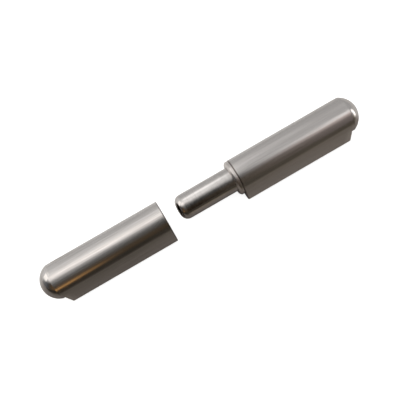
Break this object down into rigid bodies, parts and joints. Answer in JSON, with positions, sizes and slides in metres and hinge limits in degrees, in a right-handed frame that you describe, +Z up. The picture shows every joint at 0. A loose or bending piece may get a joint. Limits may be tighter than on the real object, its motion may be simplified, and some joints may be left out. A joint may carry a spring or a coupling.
{
  "type": "weld-on barrel hinge",
  "caption": "Lift-off weld-on hinge: two drop-shaped steel barrels with domed ends, a fixed pin and a thrust washer, shown with the halves drawn apart.",
  "frame": {"origin": "on the surface the hinge lies on, under the middle of the box round both halves as they lie drawn apart", "axes": "+X along the hinge axis from the socket half to the pin half, +Z up from the weld faces, and the weld lips point toward -Y"},
  "size_m": [0.1926, 0.0216, 0.02],
  "materials": {
    "socket_half_steel": "drawn and lightly brushed along its length",
    "pin_half_steel": "satin, drawn along its length",
    "ground_pin_steel": "turned and ground",
    "washer_steel": "turned, satin"
  },
  "bodies": {
    "pin_half": {"pin_half_barrel": "pin_half_steel", "hinge_pin": "ground_pin_steel"},
    "washer": {"thrust_washer": "washer_steel"},
    "socket_half": {"socket_half_barrel": "socket_half_steel"}
  },
  "joints": [
    {"name": "swing", "type": "hinge", "parent": "pin_half", "child": "washer", "pos_m": [0, 0.00075, 0.01], "axis": [1, 0, 0], "continuous": true},
    {"name": "slide_on", "type": "slide", "parent": "washer", "child": "socket_half", "axis": [1, 0, 0], "range_m": [0, 0.0408]}
  ]
}
